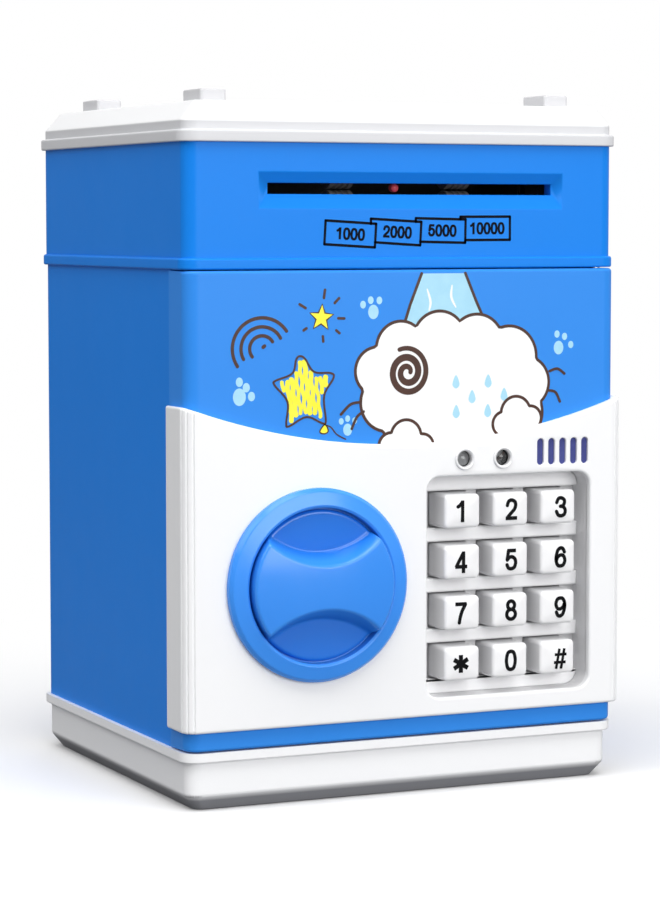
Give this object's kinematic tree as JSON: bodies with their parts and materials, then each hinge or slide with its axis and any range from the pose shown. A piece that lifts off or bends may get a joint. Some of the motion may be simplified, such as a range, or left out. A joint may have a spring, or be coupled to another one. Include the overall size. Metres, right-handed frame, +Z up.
{
  "type": "toy savings bank",
  "caption": "Toy safe with a hinged door, sunk keypad, turning knob and latch bolt, a powered note slot above the door and a lid with a coin slot.",
  "frame": {"origin": "on the resting plane, under the centre of the body", "axes": "+Z up, -Y towards the front (the door), +X to the right seen from the front"},
  "size_m": [0.1336, 0.1276, 0.1936],
  "materials": {
    "blue_plastic": "glossy moulded blue plastic",
    "white_plastic": "satin moulded white plastic",
    "inner_blue_plastic": "matt moulded blue plastic",
    "inner_grey_plastic": "matt moulded grey plastic",
    "keypad_plastic": "satin moulded pale grey plastic",
    "key_plastic": "satin moulded white plastic with a printed black figure",
    "nylon": "natural nylon",
    "steel": "bright zinc-plated steel",
    "brass": "machined brass",
    "grey_rubber": "grey rubber with fine ribs, and silicone rubber sheet",
    "black_plastic": "matt black plastic",
    "circuit_board": "green solder mask",
    "lamp_lens": "clear lamp in a white collar",
    "cell_jacket": "plain printed metal jacket"
  },
  "bodies": {
    "case": {"base_tray": "white_plastic", "battery_contacts": "steel", "aa_cells": "cell_jacket", "battery_cover": "white_plastic", "base_screws": "steel", "body_shell": "blue_plastic", "bolt_keeper": "steel", "wire_cover": "inner_blue_plastic", "upper_housing": "blue_plastic", "housing_screws": "steel", "vault_ceiling": "inner_blue_plastic", "feeder_frame": "inner_grey_plastic", "feed_motor": "steel", "note_guide": "inner_grey_plastic", "note_sensor": "black_plastic", "coin_chute": "inner_blue_plastic", "main_board": "circuit_board", "top_lid": "white_plastic", "lid_pads": "white_plastic", "lid_screws": "steel"},
    "drive_roller": {"drive_shaft": "steel", "drive_rollers": "grey_rubber", "drive_gear": "nylon"},
    "idler_roller": {"idler_shaft": "steel", "idler_rollers": "grey_rubber"},
    "pinion": {"motor_pinion": "brass"},
    "door": {"door_panel": "blue_plastic", "fascia": "white_plastic", "knob_bezel": "blue_plastic", "keypad_frame": "keypad_plastic", "keypad_plate": "keypad_plastic", "keypad_bars": "keypad_plastic", "keypad_membrane": "grey_rubber", "keypad_board": "circuit_board", "led_lenses": "lamp_lens", "speaker": "black_plastic", "door_liner": "inner_blue_plastic", "door_screws": "steel", "hinge_pins": "steel", "bolt_guides": "inner_blue_plastic", "lock_solenoid": "inner_grey_plastic"},
    "knob": {"knob": "blue_plastic", "knob_cam": "inner_grey_plastic", "knob_screw": "steel"},
    "bolt": {"latch_bolt": "nylon"},
    "plunger": {"lock_plunger": "steel"},
    "key_1": {"key_1": "key_plastic"},
    "key_2": {"key_2": "key_plastic"},
    "key_3": {"key_3": "key_plastic"},
    "key_4": {"key_4": "key_plastic"},
    "key_5": {"key_5": "key_plastic"},
    "key_6": {"key_6": "key_plastic"},
    "key_7": {"key_7": "key_plastic"},
    "key_8": {"key_8": "key_plastic"},
    "key_9": {"key_9": "key_plastic"},
    "key_star": {"key_star": "key_plastic"},
    "key_0": {"key_0": "key_plastic"},
    "key_hash": {"key_hash": "key_plastic"}
  },
  "joints": [
    {"name": "door_swing", "type": "hinge", "parent": "case", "child": "door", "pos_m": [0.06105, -0.05355, 0.08], "axis": [0, 0, 1], "range_deg": [0, 105]},
    {"name": "knob_turn", "type": "hinge", "parent": "door", "child": "knob", "pos_m": [-0.0284, -0.06, 0.0602], "axis": [0, 1, 0], "range_deg": [-90, 0]},
    {"name": "bolt_slide", "type": "slide", "parent": "door", "child": "bolt", "axis": [-1, 0, 0], "range_m": [0, 0.0085]},
    {"name": "plunger_slide", "type": "slide", "parent": "door", "child": "plunger", "axis": [0, 0, 1], "range_m": [-0.003, 0], "stiffness_N_per_m": 120, "springref_m": 0.0002},
    {"name": "drive_spin", "type": "hinge", "parent": "case", "child": "drive_roller", "pos_m": [0.005, -0.04, 0.1617], "axis": [1, 0, 0], "continuous": true},
    {"name": "idler_spin", "type": "hinge", "parent": "case", "child": "idler_roller", "pos_m": [0.005, -0.04, 0.1717], "axis": [1, 0, 0], "continuous": true},
    {"name": "pinion_spin", "type": "hinge", "parent": "case", "child": "pinion", "pos_m": [-0.0445, -0.027, 0.1565], "axis": [1, 0, 0], "continuous": true},
    {"name": "key_1_press", "type": "slide", "parent": "door", "child": "key_1", "axis": [0, 1, 0], "range_m": [0, 0.0012], "stiffness_N_per_m": 500},
    {"name": "key_2_press", "type": "slide", "parent": "door", "child": "key_2", "axis": [0, 1, 0], "range_m": [0, 0.0012], "stiffness_N_per_m": 500},
    {"name": "key_3_press", "type": "slide", "parent": "door", "child": "key_3", "axis": [0, 1, 0], "range_m": [0, 0.0012], "stiffness_N_per_m": 500},
    {"name": "key_4_press", "type": "slide", "parent": "door", "child": "key_4", "axis": [0, 1, 0], "range_m": [0, 0.0012], "stiffness_N_per_m": 500},
    {"name": "key_5_press", "type": "slide", "parent": "door", "child": "key_5", "axis": [0, 1, 0], "range_m": [0, 0.0012], "stiffness_N_per_m": 500},
    {"name": "key_6_press", "type": "slide", "parent": "door", "child": "key_6", "axis": [0, 1, 0], "range_m": [0, 0.0012], "stiffness_N_per_m": 500},
    {"name": "key_7_press", "type": "slide", "parent": "door", "child": "key_7", "axis": [0, 1, 0], "range_m": [0, 0.0012], "stiffness_N_per_m": 500},
    {"name": "key_8_press", "type": "slide", "parent": "door", "child": "key_8", "axis": [0, 1, 0], "range_m": [0, 0.0012], "stiffness_N_per_m": 500},
    {"name": "key_9_press", "type": "slide", "parent": "door", "child": "key_9", "axis": [0, 1, 0], "range_m": [0, 0.0012], "stiffness_N_per_m": 500},
    {"name": "key_star_press", "type": "slide", "parent": "door", "child": "key_star", "axis": [0, 1, 0], "range_m": [0, 0.0012], "stiffness_N_per_m": 500},
    {"name": "key_0_press", "type": "slide", "parent": "door", "child": "key_0", "axis": [0, 1, 0], "range_m": [0, 0.0012], "stiffness_N_per_m": 500},
    {"name": "key_hash_press", "type": "slide", "parent": "door", "child": "key_hash", "axis": [0, 1, 0], "range_m": [0, 0.0012], "stiffness_N_per_m": 500}
  ],
  "couplings": [
    {"joint": "knob_turn", "follows": "bolt_slide", "rad_per_m": -184.79},
    {"joint": "idler_spin", "follows": "drive_spin", "ratio": -1.087},
    {"joint": "pinion_spin", "follows": "drive_spin", "ratio": -3}
  ]
}
